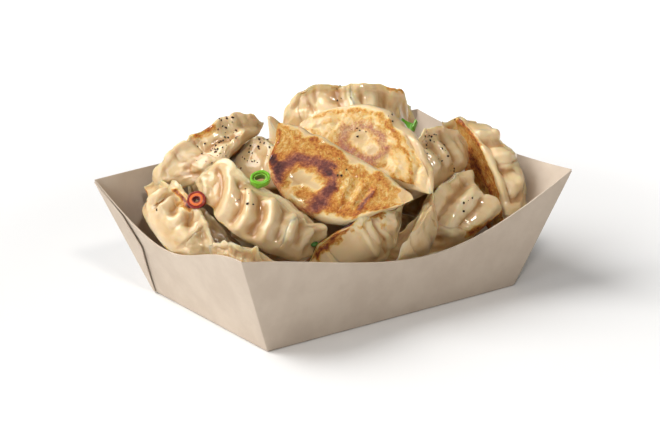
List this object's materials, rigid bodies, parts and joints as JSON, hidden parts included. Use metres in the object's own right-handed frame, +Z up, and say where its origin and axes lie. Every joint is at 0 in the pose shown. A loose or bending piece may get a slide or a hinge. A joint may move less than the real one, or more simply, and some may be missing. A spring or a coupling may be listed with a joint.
{
  "type": "gyoza dumplings in paper tray",
  "caption": "Heap of pan-fried pleated gyoza dumplings in a folded paper boat tray, some turned to show their browned bases, with pepper and chilli and spring onion slices.",
  "frame": {"origin": "middle of the tray's flat underside", "axes": "+Z up, +X along the tray's long side, away from the end wall with the outer flap; -Y is the low long side"},
  "size_m": [0.2009, 0.1266, 0.0962],
  "materials": {
    "card": "uncoated kraft card, matte",
    "dough": "steamed wheat dough, moist and slightly see-through, browned and blistered where it was fried",
    "chilli": "fresh red chilli, glossy skin, orange inside",
    "spring_onion": "fresh green stalk, satin"
  },
  "bodies": {
    "root": {"tray": "card", "gyoza_01": "dough", "gyoza_02": "dough", "gyoza_03": "dough", "gyoza_04": "dough", "gyoza_05": "dough", "gyoza_06": "dough", "gyoza_07": "dough", "gyoza_08": "dough", "gyoza_09": "dough", "gyoza_10": "dough", "gyoza_11": "dough", "gyoza_12": "dough", "gyoza_13": "dough", "gyoza_14": "dough", "gyoza_15": "dough", "gyoza_16": "dough", "gyoza_17": "dough", "gyoza_18": "dough", "gyoza_19": "dough", "gyoza_20": "dough", "gyoza_21": "dough", "gyoza_22": "dough", "gyoza_23": "dough", "gyoza_24": "dough", "gyoza_25": "dough", "gyoza_26": "dough", "chilli_ring": "chilli", "onion_ring": "spring_onion", "onion_slice": "spring_onion"}
  },
  "joints": []
}
